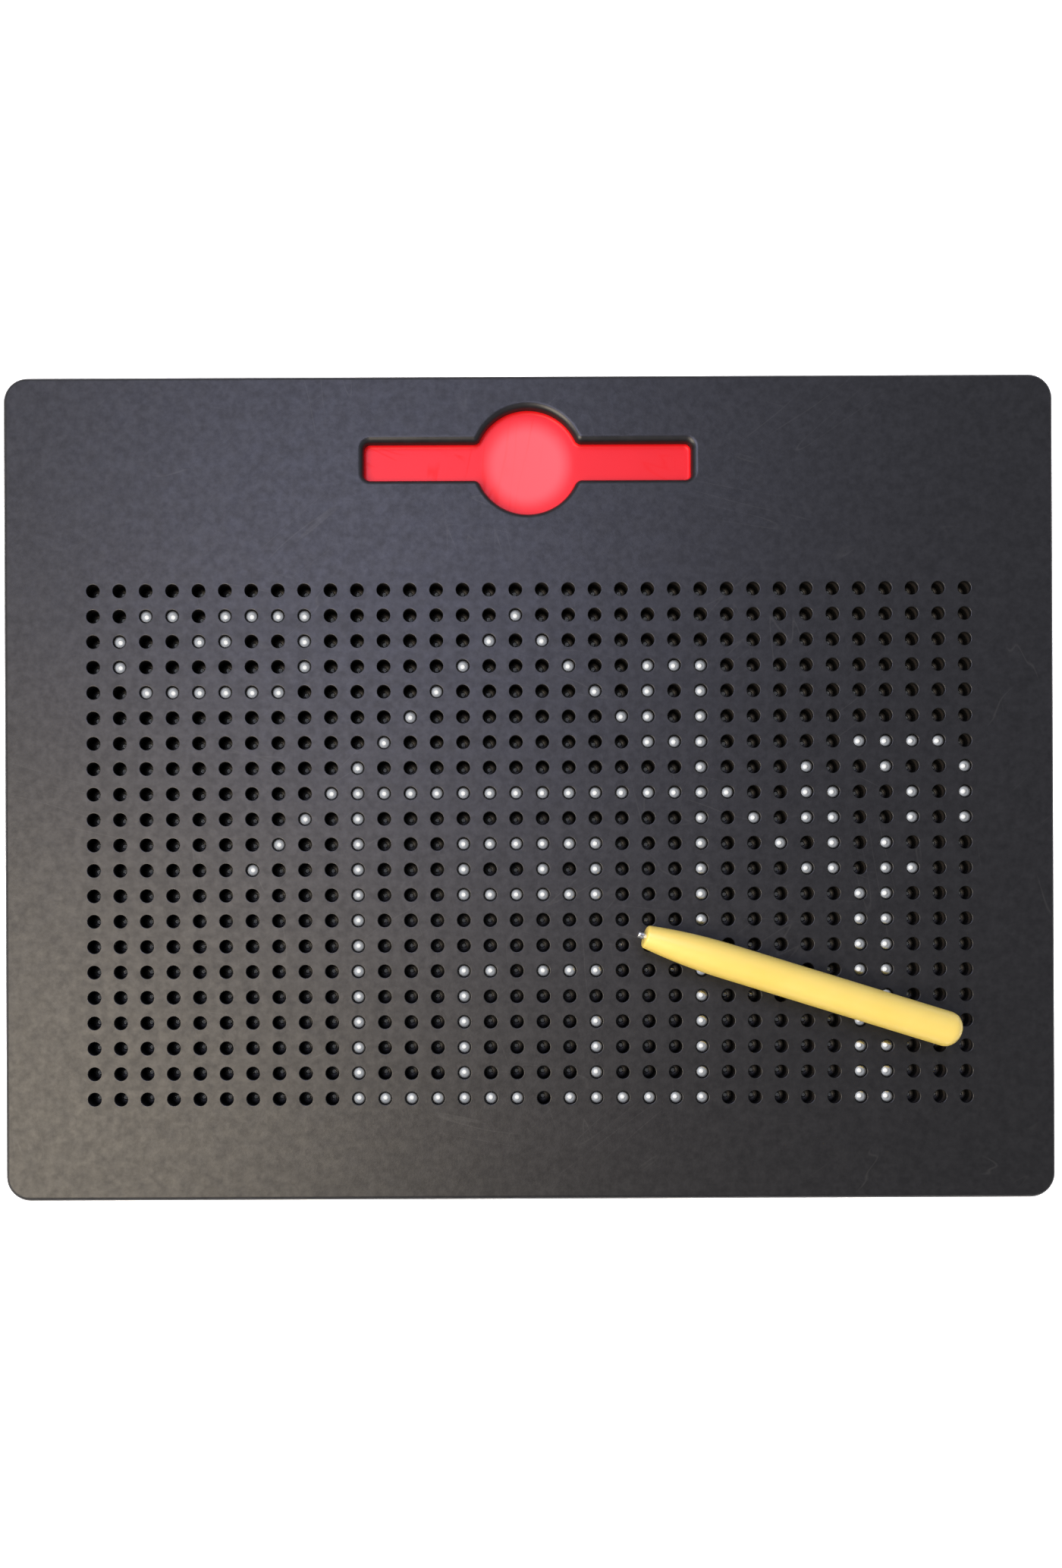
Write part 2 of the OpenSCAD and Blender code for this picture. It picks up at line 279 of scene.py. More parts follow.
# ABS moulded in a spark-eroded tool: a fine dull grain that spreads a lamp's reflection
# into a broad pale sheen, with faint scratches and rubbed patches from use.
def blackAbs(tree, place):
    look = blackAbsLook
    cloud = addNode(tree, "ShaderNodeTexNoise", {"Vector": place, "Scale": 1 / look["cloud"], "Detail": 4.0,
                                                 "Roughness": 0.65})
    grain = addNode(tree, "ShaderNodeTexNoise", {"Vector": place, "Scale": 1 / look["grain"], "Detail": 2.0})
    scratch = scratchMask(tree, place, look["scratchTurns"], *look["scratchSizes"], look["scratchFrom"])
    base = addNode(tree, "ShaderNodeMix", {0: cloud.outputs["Fac"], 6: fromHex(look["colour"]),
                                           7: fromHex(look["cloudColour"])}, data_type="RGBA")
    marked = addNode(tree, "ShaderNodeMix", {0: scratch, 6: base.outputs[2],
                                             7: fromHex(look["scratchColour"])}, data_type="RGBA")
    dull = addNode(tree, "ShaderNodeMapRange", {
        "Value": cloud.outputs["Fac"], "From Min": 0.3, "From Max": 0.7,
        "To Min": look["roughness"][0], "To Max": look["roughness"][1]})
    mottle = addNode(tree, "ShaderNodeTexNoise", {"Vector": place, "Scale": 1 / look["mottle"],
                                                  "Detail": 2.0})
    gloss = addNode(tree, "ShaderNodeMapRange", {
        "Value": mottle.outputs["Fac"], "From Min": 0.3, "From Max": 0.7,
        "To Min": look["gloss"][0], "To Max": look["gloss"][1]})
    bump = addNode(tree, "ShaderNodeBump", {"Height": grain.outputs["Fac"], "Strength": 1.0,
                                            "Distance": look["grainDepth"]})
    return addNode(tree, "ShaderNodeBsdfPrincipled", {
        "Base Color": marked.outputs[2], "Roughness": dull.outputs[0], "IOR": 1.5,
        "Specular IOR Level": gloss.outputs[0], "Normal": bump.outputs["Normal"]})


# The same ABS where hands have rubbed the grain off: the rounded edges shine a little more.
def rubbedAbs(tree, place):
    wear = addNode(tree, "ShaderNodeTexNoise", {"Vector": place, "Scale": 1 / (3 * mm), "Detail": 3.0})
    colour = addNode(tree, "ShaderNodeMix", {0: wear.outputs["Fac"], 6: fromHex("#101012"),
                                             7: fromHex("#1d1d1f")}, data_type="RGBA")
    dull = addNode(tree, "ShaderNodeMapRange", {"Value": wear.outputs["Fac"], "To Min": 0.28, "To Max": 0.46})
    fine = addNode(tree, "ShaderNodeTexNoise", {"Vector": place, "Scale": 1 / (0.4 * mm)})
    bump = addNode(tree, "ShaderNodeBump", {"Height": fine.outputs["Fac"], "Strength": 1.0,
                                            "Distance": 0.004 * mm})
    return addNode(tree, "ShaderNodeBsdfPrincipled", {
        "Base Color": colour.outputs[2], "Roughness": dull.outputs[0], "IOR": 1.5,
        "Normal": bump.outputs["Normal"]})


redAbsLook = {
    "colour": "#d9161e",
    "flowColour": "#cc1119",
    # paler red painted over the finger well as a highlight, with its reach and soft edge
    "rubbedColour": "#ea5055",
    "rubbedR": 12.5 * mm,
    "rubbedEdge": 5 * mm,
    "scratchTurns": (24, 100),
    "scratchSizes": (40 * mm, 5 * mm, 0.1 * mm, 18 * mm),
    "scratchFrom": 0.56,
    "roughness": (0.5, 0.7),
    "gloss": 0.35,
    "grain": 0.7 * mm,  # an even satin in life; drawn coarse enough to break up the gloss
}


# ABS coloured right through and moulded in a satin tool: deep red with a soft gloss, and
# paler in the finger well, where a painted highlight stands in for the lamp's reflection in the dish.
def redAbs(tree, place):
    look = redAbsLook
    # Painted highlight: the base colour turns a paler red towards the middle of the finger well, in place of
    # the lamp's reflection in the dish.
    fromWell = addNode(tree, "ShaderNodeVectorMath", {0: place, 1: (0, recessY, 0)}, operation="SUBTRACT")
    level = addNode(tree, "ShaderNodeVectorMath", {0: fromWell.outputs[0], 1: (1, 1, 0)},
                    operation="MULTIPLY")
    away = addNode(tree, "ShaderNodeVectorMath", {0: level.outputs[0]}, operation="LENGTH")
    highlightMask = addNode(tree, "ShaderNodeMapRange", {
        "Value": away.outputs["Value"], "From Min": look["rubbedR"] - look["rubbedEdge"],
        "From Max": look["rubbedR"], "To Min": 1.0, "To Max": 0.0}, interpolation_type="SMOOTHSTEP")
    flow = addNode(tree, "ShaderNodeTexNoise", {"Vector": place, "Scale": 1 / (22 * mm), "Detail": 3.0,
                                                "Distortion": 0.6})
    colour = addNode(tree, "ShaderNodeMix", {0: flow.outputs["Fac"], 6: fromHex(look["colour"]),
                                             7: fromHex(look["flowColour"])}, data_type="RGBA")
    highlighted = addNode(tree, "ShaderNodeMix", {0: highlightMask.outputs[0], 6: colour.outputs[2],
                                           7: fromHex(look["rubbedColour"])}, data_type="RGBA")
    grain = addNode(tree, "ShaderNodeTexNoise", {"Vector": place, "Scale": 1 / look["grain"], "Detail": 2.0})
    scratch = scratchMask(tree, place, look["scratchTurns"], *look["scratchSizes"], look["scratchFrom"])
    dull = addNode(tree, "ShaderNodeMapRange", {"Value": scratch, "To Min": look["roughness"][0],
                                                "To Max": look["roughness"][1]})
    bump = addNode(tree, "ShaderNodeBump", {"Height": grain.outputs["Fac"], "Strength": 1.0,
                                            "Distance": 0.005 * mm})
    return addNode(tree, "ShaderNodeBsdfPrincipled", {
        "Base Color": highlighted.outputs[2], "Roughness": dull.outputs[0], "IOR": 1.5,
        "Specular IOR Level": look["gloss"], "Normal": bump.outputs["Normal"]})


yellowLook = {
    "colour": "#dfc45c",
    "paleColour": "#e4cd70",
    "roughness": (0.32, 0.46),
    "marks": 1.6 * mm,
    "lightDepth": 1.2 * mm,
}


# Polystyrene moulded in a polished tool, opaque yellow: a warm body that lets a little
# light in, and fine handling marks that break its gloss.
def yellowPolystyrene(tree, place):
    look = yellowLook
    flow = addNode(tree, "ShaderNodeTexNoise", {"Vector": place, "Scale": 1 / (9 * mm), "Detail": 3.0})
    colour = addNode(tree, "ShaderNodeMix", {0: flow.outputs["Fac"], 6: fromHex(look["colour"]),
                                             7: fromHex(look["paleColour"])}, data_type="RGBA")
    rub = addNode(tree, "ShaderNodeTexNoise", {"Vector": place, "Scale": 1 / look["marks"], "Detail": 4.0})
    dull = addNode(tree, "ShaderNodeMapRange", {
        "Value": rub.outputs["Fac"], "From Min": 0.3, "From Max": 0.7,
        "To Min": look["roughness"][0], "To Max": look["roughness"][1]})
    bump = addNode(tree, "ShaderNodeBump", {"Height": rub.outputs["Fac"], "Strength": 1.0,
                                            "Distance": 0.01 * mm})
    return addNode(tree, "ShaderNodeBsdfPrincipled", {
        "Base Color": colour.outputs[2], "Roughness": dull.outputs[0], "IOR": 1.59,
        "Subsurface Weight": 0.15, "Subsurface Radius": (1.0, 0.7, 0.2),
        "Subsurface Scale": look["lightDepth"],
        "Normal": bump.outputs["Normal"]})


beadLook = {
    "colour": "#dcdddf",
    "paleColour": "#efeeec",
    "roughness": (0.2, 0.3),
    "haze": 1.1 * mm,
    "pits": 0.5 * mm,  # real pits are too fine to see; drawn coarse enough to roughen the shine
}


# Bearing steel, tumbled and polished: a slightly hazy mirror with tiny pits.
def beadSteel(tree, place):
    look = beadLook
    haze = addNode(tree, "ShaderNodeTexNoise", {"Vector": place, "Scale": 1 / look["haze"], "Detail": 3.0})
    dull = addNode(tree, "ShaderNodeMapRange", {
        "Value": haze.outputs["Fac"], "From Min": 0.3, "From Max": 0.7,
        "To Min": look["roughness"][0], "To Max": look["roughness"][1]})
    colour = addNode(tree, "ShaderNodeMix", {0: haze.outputs["Fac"], 6: fromHex(look["colour"]),
                                             7: fromHex(look["paleColour"])}, data_type="RGBA")
    pits = addNode(tree, "ShaderNodeTexVoronoi", {"Vector": place, "Scale": 1 / look["pits"]})
    bump = addNode(tree, "ShaderNodeBump", {"Height": pits.outputs["Distance"], "Strength": 1.0,
                                            "Distance": 0.002 * mm})
    return addNode(tree, "ShaderNodeBsdfPrincipled", {
        "Base Color": colour.outputs[2], "Metallic": 1.0, "Roughness": dull.outputs[0],
        "Normal": bump.outputs["Normal"]})


# Turned mild steel: fine marks of the lathe, nearly square to the pin, and a grey gloss.
def turnedSteel(tree, place):
    markSize = 2.4 * mm  # much coarser than the cutter's feed, so that a few marks show
    rings = addNode(tree, "ShaderNodeTexWave", {"Vector": place, "Scale": 1 / markSize, "Distortion": 0.4},
                    bands_direction="X")
    bump = addNode(tree, "ShaderNodeBump", {"Height": rings.outputs["Fac"], "Strength": 1.0,
                                            "Distance": 0.008 * mm})
    colour = addNode(tree, "ShaderNodeMix", {0: rings.outputs["Fac"], 6: fromHex("#cfd0d1"),
                                             7: fromHex("#e6e6e4")}, data_type="RGBA")
    return addNode(tree, "ShaderNodeBsdfPrincipled", {
        "Base Color": colour.outputs[2], "Metallic": 1.0, "Roughness": 0.24,
        "Normal": bump.outputs["Normal"]})


# Nickel plating over a sintered magnet: bright, and a little wavy.
def nickelPlate(tree, place):
    wave = addNode(tree, "ShaderNodeTexNoise", {"Vector": place, "Scale": 1 / (1.2 * mm), "Detail": 3.0})
    bump = addNode(tree, "ShaderNodeBump", {"Height": wave.outputs["Fac"], "Strength": 1.0,
                                            "Distance": 0.01 * mm})
    dull = addNode(tree, "ShaderNodeMapRange", {"Value": wave.outputs["Fac"], "To Min": 0.14, "To Max": 0.3})
    return addNode(tree, "ShaderNodeBsdfPrincipled", {
        "Base Color": fromHex("#d3d0c8"), "Metallic": 1.0, "Roughness": dull.outputs[0],
        "Normal": bump.outputs["Normal"]})


# Ferrite powder bonded in rubber and rolled to a sheet: dark brown, dull, faintly speckled.
def magnetRubber(tree, place):
    speck = addNode(tree, "ShaderNodeTexNoise", {"Vector": place, "Scale": 1 / (0.4 * mm), "Detail": 4.0})
    colour = addNode(tree, "ShaderNodeMix", {0: speck.outputs["Fac"], 6: fromHex("#1b1715"),
                                             7: fromHex("#2a2421")}, data_type="RGBA")
    bump = addNode(tree, "ShaderNodeBump", {"Height": speck.outputs["Fac"], "Strength": 1.0,
                                            "Distance": 0.02 * mm})
    return addNode(tree, "ShaderNodeBsdfPrincipled", {
        "Base Color": colour.outputs[2], "Roughness": 0.8, "IOR": 1.52, "Normal": bump.outputs["Normal"]})


# Black ABS of the block with the wells, straight from a plain tool: no grain, dull and deep.
def wellAbs(tree, place):
    swirl = addNode(tree, "ShaderNodeTexNoise", {"Vector": place, "Scale": 1 / (6 * mm), "Detail": 3.0})
    colour = addNode(tree, "ShaderNodeMix", {0: swirl.outputs["Fac"], 6: fromHex("#0b0b0c"),
                                             7: fromHex("#131314")}, data_type="RGBA")
    bump = addNode(tree, "ShaderNodeBump", {"Height": swirl.outputs["Fac"], "Strength": 1.0,
                                            "Distance": 0.05 * mm})
    return addNode(tree, "ShaderNodeBsdfPrincipled", {
        "Base Color": colour.outputs[2], "Roughness": 0.5, "IOR": 1.5, "Normal": bump.outputs["Normal"]})


materials = {
    "faceBlack": newMaterial("blackAbsSparkGrain", blackAbs),
    "rubbedBlack": newMaterial("blackAbsRubbedEdge", rubbedAbs),
    "red": newMaterial("redAbsSatin", redAbs),
    "yellow": newMaterial("yellowPolystyrene", yellowPolystyrene),
    "bead": newMaterial("bearingSteelPolished", beadSteel),
    "pin": newMaterial("turnedSteel", turnedSteel),
    "nickel": newMaterial("nickelPlatedMagnet", nickelPlate),
    "rubber": newMaterial("bondedMagnetRubber", magnetRubber),
    "well": newMaterial("blackAbsPlain", wellAbs),
}
print("materials made")


# Face shell: the black face with its rounded edges, the opening and the bead holes

boardSizes = {
    "cornerR": 6.3 * mm,
    "edgeR": 1.4 * mm,
    "footR": 0.4 * mm,
    "skirtT": 2.0 * mm,
    "panelZ": sheetHigh.z,
    "socketR": 3.85 * mm,
    "socketHoleR": 2.45 * mm,
    "socketFootZ": 4.0 * mm,
    "socketSink": 0.6 * mm,  # how far a socket grows into the wall beside it
    "socketGap": 2.0 * mm,
    "holeR": 1.65 * mm,
    "holeRim": 0.2 * mm,
    "wellR": 2.3 * mm,
    "lipT": 0.4 * mm,
    "holeSegments": 32,
    "overshoot": 0.002 * mm,  # how far a cutter's rim stands over the face it rounds
    "passOut": 1 * mm,  # how far a cutter runs past what it cuts
    "overlap": 0.5 * mm,
}

recessSizes = {
    "middleY": recessY,
    "slotL": 82.8 * mm,
    "slotW": 9.4 * mm,
    "cornerR": 1.6 * mm,
    "fingerR": 13.3 * mm,
    "junctionR": 1.9 * mm,
    "rim": 1.6 * mm,
    "wall": 1.6 * mm,
    "flange": 3.0 * mm,
    "flangeT": 1.2 * mm,
    "fillet": 0.6 * mm,
    "dishR": 11.7 * mm,
    "dishDepth": 0.5 * mm,
}


# Outline of the slot and the finger well together, grown outward by a distance.
def recessOutline(grow):
    s = recessSizes
    halfL, halfW = s["slotL"] / 2, s["slotW"] / 2
    corner, ball = s["cornerR"], s["fingerR"] + grow
    joint = max(s["junctionR"] - grow, 0.3 * mm)
    centreY = halfW + grow + joint
    jointX = math.sqrt((ball + joint) ** 2 - centreY ** 2)
    phi = math.degrees(math.atan2(centreY, jointX))
    straight = halfL - corner - jointX
    quarter = [(halfL + grow, 0.0)]
    quarter += arcPoints(halfL - corner, halfW - corner, corner + grow, 0, 90, 8)
    quarter += [(jointX + straight * share, halfW + grow) for share in (0.75, 0.5, 0.25)]
    quarter += arcPoints(jointX, centreY, joint, 270, 180 + phi, 6)
    quarter += arcPoints(0, 0, ball, phi, 90, 16)[1:]
    half = quarter + [(-x, y) for x, y in reversed(quarter[:-1])]
    points = half + [(x, -y) for x, y in reversed(half[1:-1])]
    return [(x, y + s["middleY"]) for x, y in points]


# Skin that cuts holes with a rounded upper edge, made from a function of growth and height.
def rimCutter(outline, floorZ, rim, steps):
    rings = [outline(0, floorZ)]
    rings += [outline(rim * inward, faceZ - rim * (1 - upward)) for inward, upward in quarterRound(steps)]
    lift = boardSizes["overshoot"]
    rings[-1] = [(x, y, z + lift) for x, y, z in rings[-1]]
    rings.append([(x, y, z + boardSizes["passOut"]) for x, y, z in rings[-1]])
    return rings


# Middles of the sockets that take the posts of the back plate.
def postPlaces():
    s = boardSizes
    outX = caseHigh.x - s["skirtT"] - s["socketR"] + s["socketSink"]
    outY = caseHigh.y - s["skirtT"] - s["socketR"] + s["socketSink"]
    trayEdge = recessSizes["slotL"] / 2 + recessSizes["wall"] + recessSizes["flange"]
    innerX = trayEdge + s["socketGap"] + s["socketR"]
    middleY = (sheetLow.y + sheetHigh.y) / 2
    return [(-outX, -outY), (0, -outY), (outX, -outY), (-outX, middleY), (outX, middleY),
            (-outX, outY), (-innerX, outY), (innerX, outY), (outX, outY)]


def holePlaces():
    return [(firstX + column * pitchX, firstY - row * pitchY)
            for row in range(rowCount) for column in range(columnCount)]


def makeShell():
    s = boardSizes
    halfL, halfW = caseHigh.x, caseHigh.y

    def block(inset, z, steps=10):
        return atHeight(roundedRectangle(halfL - inset, halfW - inset, s["cornerR"] - inset, steps), z)

    rings = [block(s["footR"] * (1 - upward), s["footR"] * inward) for inward, upward in quarterRound(3)]
    rings += [block(s["edgeR"] * inward, faceZ - s["edgeR"] * (1 - upward))
              for inward, upward in quarterRound(8)]
    shell = makeObject("faceShell", *skinRings(rings), materials["faceBlack"], "board")

    inside = [block(s["skirtT"], z, 8) for z in (-s["passOut"], s["panelZ"])]
    cavity = makeObject("cavity", *skinRings(inside))
    combine(shell, cavity)
    sockets = joinSkins([skinRings([roundRing(x, y, s["socketR"], z, 32)
                                    for z in (s["socketFootZ"], s["panelZ"] + s["overlap"])])
                         for x, y in postPlaces()])
    combine(shell, makeObject("sockets", *sockets), "UNION")
    bores = joinSkins([skinRings([roundRing(x, y, s["socketHoleR"], z, 32)
                                  for z in (s["socketFootZ"] - s["passOut"], s["panelZ"])])
                       for x, y in postPlaces()])
    combine(shell, makeObject("socketBores", *bores))

    recess = rimCutter(lambda grow, z: atHeight(recessOutline(grow), z), sheetLow.z, recessSizes["rim"], 8)
    combine(shell, makeObject("recess", *skinRings(recess)))

    holes = []
    for x, y in holePlaces():
        rings = rimCutter(lambda grow, z: roundRing(x, y, s["holeR"] + grow, z, s["holeSegments"]),
                          faceZ - s["lipT"], s["holeRim"], 3)
        well = [roundRing(x, y, s["wellR"], z, s["holeSegments"]) for z in (sheetLow.z, faceZ - s["lipT"])]
        holes.append(skinRings(well + rings))
    combine(shell, makeObject("holes", *joinSkins(holes)))
    smoothPiece(shell, 32)

    # The rounded edges have had their grain rubbed off.
    shell.data.materials.clear()
    shell.data.materials.append(materials["faceBlack"])
    shell.data.materials.append(materials["rubbedBlack"])
    lowest = faceZ - recessSizes["rim"]
    for face in shell.data.polygons:
        rounded = 0.04 < face.normal.z < 0.985 and face.center.z > lowest
        face.material_index = 1 if rounded else 0
    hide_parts("front_cover")


makeShell()
print("face shell made")


# Pen tray: the red floor of the slot and of the dished finger well

def makeTray():
    s = recessSizes
    floor = trayLow.z + s["wall"]
    rings = [atHeight(recessOutline(grow), z) for grow, z in (
        (s["wall"], trayLow.z), (s["wall"], trayHigh.z - s["flangeT"]),
        (s["wall"] + s["flange"], trayHigh.z - s["flangeT"]),
        (s["wall"] + s["flange"], trayHigh.z), (0, trayHigh.z))]
    rings += [atHeight(recessOutline(-s["fillet"] * inward), floor + s["fillet"] * (1 - upward))
              for inward, upward in quarterRound(5)]
    verts, faces = skinRings(rings, caps=False)
    count = len(rings[0])
    faces.append(tuple(reversed(range(count))))

    # The floor is filled with rings of points, so that the dish in the finger well is a true bowl.
    middle = Vector((0, s["middleY"]))
    inside = [(x, y) for x, y, z in rings[-1]] + [tuple(middle)]
    for share in np.linspace(0.08, 1, 12):
        inside += [(x, y) for x, y, z in roundRing(*middle, share * s["dishR"], 0, 48)]
    points, edges, triangles, origins = delaunay_2d_cdt(
        [Vector(p) for p in inside], [], [list(range(count))], 1, 1e-7)[:4]
    bowlR = (s["dishR"] ** 2 + s["dishDepth"] ** 2) / (2 * s["dishDepth"])
    start = len(verts) - count
    index = []
    for point, sources in zip(points, origins):
        rim = [k for k in sources if k < count]
        if rim:
            index.append(start + rim[0])
            continue
        away = (point - middle).length
        drop = math.sqrt(bowlR ** 2 - away ** 2) - (bowlR - s["dishDepth"])
        index.append(len(verts))
        verts.append((point.x, point.y, floor - max(drop, 0)))
    faces += [tuple(index[i] for i in triangle) for triangle in triangles]
    tray = makeObject("redTray", verts, faces, materials["red"], "board")
    smoothPiece(tray, 40)
    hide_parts("pen_tray")


makeTray()
print("tray made")


# Beads: one smooth ball for each bead that the frame holds in a row

ballSizes = {"segments": 28, "levels": 18}


def ballSkin(centre):
    levels = [math.pi * k / ballSizes["levels"] - math.pi / 2 for k in range(1, ballSizes["levels"])]
    rings = [roundRing(centre.x, centre.y, beadR * math.cos(a), centre.z + beadR * math.sin(a),
                       ballSizes["segments"]) for a in levels]
    verts, faces = skinRings(rings, caps=False)
    for pole, ring in ((-1, 0), (1, len(rings) - 1)):
        tip = len(verts)
        verts.append((centre.x, centre.y, centre.z + pole * beadR))
        for k in range(ballSizes["segments"]):
            low = ring * ballSizes["segments"] + k
            after = ring * ballSizes["segments"] + (k + 1) % ballSizes["segments"]
            faces.append((low, after, tip) if pole > 0 else (after, low, tip))
    return verts, faces


def makeBeadRows():
    rows = {"drawn": [], "resting": []}
    bodies = frame["record"]["behaviour"]["bodies"]
    for body, nodes in bodies.items():
        for node in nodes:
            if "_beads_row_" not in node:
                continue
            low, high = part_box(node)
            columns = sorted({round((v.co.x - firstX) / pitchX) for v in frame["nodes"][node].data.vertices})
            balls = [ballSkin(Vector((firstX + column * pitchX, (low.y + high.y) / 2, (low.z + high.z) / 2)))
                     for column in columns]
            name = body.replace("_", " ").title().replace(" ", "") + "Beads"
            row = makeObject(name, *joinSkins(balls), materials["bead"], body)
            row.data.shade_smooth()
            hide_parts(node)
            rows[body.split("_")[0]].append(row)
    return rows


beadRows = makeBeadRows()
print("beads made")


# Pen: a hollow barrel with its plug and steel pin, turned on one axis

penSizes = {
    "length": 80.5 * mm,
    "radius": 4.4 * mm,
    "taper": 21 * mm,
    "noseR": 2.8 * mm,
    "noseEdge": 0.7 * mm,
    "endR": 3 * mm,
    "boreR": 3.0 * mm,
    "boreEnd": 58.5 * mm,
    "magnetR": 1.75 * mm,
    "magnetEnd": 77.5 * mm,
    "pinBoreR": 0.95 * mm,
    "pinR": 0.9 * mm,
    "pinOut": 1.8 * mm,
    "pinEdge": 0.35 * mm,
    "plugR": 2.95 * mm,
    "plugL": 5 * mm,
    "gateR": 1.1 * mm,
    "gateDepth": 0.3 * mm,
    "gateSlope": 0.2 * mm,
    "sprueR": 0.4 * mm,
    "sprueHeight": 0.12 * mm,
    "sprueSlope": 0.1 * mm,
    "axisHole": 0.05 * mm,
    "plugEdge": 0.3 * mm,
    "seamHeight": 0.035 * mm,
    "seamTurn": 24,
    "segments": 96,
}


# Axis of the pen and the place of its rear end, from the plug and the pin of the frame.
def penAxis():
    s = penSizes
    plugMiddle = sum(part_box("pen_plug"), Vector()) / 2
    pinMiddle = sum(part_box("pen_tip"), Vector()) / 2
    axis = (pinMiddle - plugMiddle).normalized()
    pinFromRear = (s["magnetEnd"] + s["length"] + s["pinOut"]) / 2
    return axis, pinMiddle - axis * pinFromRear


# Spins a profile of (along, radius) about the pen's axis. A seam is a low ridge on both sides.
def spin(profile, seamFrom=0, seamTo=0, closed=False):
    s = penSizes
    axis, rear = penAxis()
    up = Vector((0, 0, 1))
    side = axis.cross(up)
    seam = round(s["segments"] * s["seamTurn"] / 360)
    rings = []
    for index, (along, radius) in enumerate(profile):
        ring = []
        for k in range(s["segments"]):
            angle = 2 * math.pi * k / s["segments"]
            raised = seamFrom <= index < seamTo and (k - seam) % (s["segments"] // 2) == 0
            reach = radius + (s["seamHeight"] if raised else 0)
            around = side * math.cos(angle) + up * math.sin(angle)
            ring.append(rear + axis * along + around * reach)
        rings.append(ring)
    return skinRings(rings, caps=not closed, closed=closed)


# Outside of the barrel: a round rear end, a straight body, and a curved taper to a blunt nose.
def barrelOutside(fromRadius):
    s = penSizes
    straight = s["length"] - s["taper"]
    drop = s["radius"] - s["noseR"]
    curveR = (s["taper"] ** 2 + drop ** 2) / (2 * drop)
    centre = s["radius"] - s["endR"]
    profile = [(a, r) for r, a in arcPoints(centre, s["endR"], s["endR"], -90, 0, 12) if r >= fromRadius]
    profile += [(a, s["radius"]) for a in np.linspace(s["endR"], straight, 12)[1:]]
    for share in np.linspace(0, 1, 19)[1:]:
        along = share * (s["taper"] - s["noseEdge"])
        profile.append((straight + along, s["radius"] - curveR + math.sqrt(curveR ** 2 - along ** 2)))
    lastR = profile[-1][1]
    edge = lastR - (s["noseR"] - s["noseEdge"])
    profile += [(s["length"] - s["noseEdge"] * (1 - upward), lastR - edge * inward)
                for inward, upward in quarterRound(6)[1:]]
    return profile


def makePen():
    s = penSizes
    outside = barrelOutside(s["boreR"])
    inside = [(s["length"], s["pinBoreR"]), (s["magnetEnd"], s["pinBoreR"]), (s["magnetEnd"], s["magnetR"]),
              (s["boreEnd"], s["magnetR"]), (s["boreEnd"], s["boreR"]),
              (outside[0][0] + 0.05 * mm, s["boreR"])]
    barrel = makeObject("penBarrel", *spin(outside + inside, 3, len(outside) - 3, closed=True),
                        materials["yellow"], "pen")
    smoothPiece(barrel, 35)
    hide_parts("pen_barrel")

    # The plug has the dimple and the small nub where its sprue was cut off.
    rim = [(a, r) for r, a in arcPoints(s["radius"] - s["endR"], s["endR"], s["endR"], -90, 0, 24)
           if r <= s["plugR"]]
    sprueTop = s["gateDepth"] - s["sprueHeight"]
    face = [(sprueTop, s["axisHole"]), (sprueTop, s["sprueR"]),
            (s["gateDepth"], s["sprueR"] + s["sprueSlope"]),
            (s["gateDepth"], s["gateR"] - s["gateSlope"]), (0, s["gateR"])]
    back = [(s["plugL"] - s["plugEdge"], s["plugR"]), (s["plugL"], s["plugR"] - s["plugEdge"])]
    plug = makeObject("penPlug", *spin(face + rim + back), materials["yellow"], "pen")
    smoothPiece(plug, 35)
    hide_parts("pen_plug")

    tip = s["length"] + s["pinOut"]
    profile = [(s["magnetEnd"], s["pinR"]), (s["length"] - 0.4 * mm, s["pinR"])]
    profile += [(tip - s["pinEdge"] * (1 - upward), s["pinR"] - s["pinEdge"] * inward)
                for inward, upward in quarterRound(5)]
    pin = makeObject("penPin", *spin(profile), materials["pin"], "pen")
    smoothPiece(pin, 50)
    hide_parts("pen_tip")


makePen()
print("pen made")


# The pieces of the frame that keep their own shape get their finish

def finishNodes():
    finishes = {"magnet_sheet": "rubber", "bead_wells": "well", "back_plate": "red", "pen_magnet": "nickel"}
    for node, finish in finishes.items():
        for slot in frame["nodes"][node].material_slots:
            slot.material = materials[finish]


finishNodes()


# Floor and light: a pale table, a warm lamp at the lower left, a weaker cool one at the upper
# left, and a soft room whose walls are darker than its ceiling

stageSizes = {
    "floorHalf": 3.0,
    "floorGap": 0.02 * mm,
    "lamps": [
        {"name": "warmLamp", "from": (-0.50, -0.27, 0.82), "distance": 0.62, "size": 0.46,
         "power": 4.7, "colour": "#ffefd6", "reach": "notBeads"},
        {"name": "coolLamp", "from": (-0.15, 0.39, 0.91), "distance": 0.62, "size": 0.4,
         "power": 2.5, "colour": "#d2d6ff", "reach": "notBeads"},
        {"name": "overheadLamp", "from": (-0.08, 0.0, 1.0), "distance": 0.62, "size": 0.72,
         "power": 1.6, "colour": "#fffdfa", "reach": "drawnBeads"},
        {"name": "backdropLamp", "from": (0.0, 0.0, 1.0), "distance": 1.1, "size": 1.2,
         "power": 30.0, "colour": "#ffffff", "reach": "floor"}],
    "roomColour": "#f4f8ff",
    "roomStrength": 0.68,
    "wallShare": 0.3,
    "wallTop": 0.12,
    "ceilingFrom": 0.6,
    "brightSide": (-0.72, 0.25, 0.65),
    "dimShare": 0.62,
    "overheadShare": 0.12,
    "overheadFrom": 0.80,
    "overheadTo": 0.90,
}


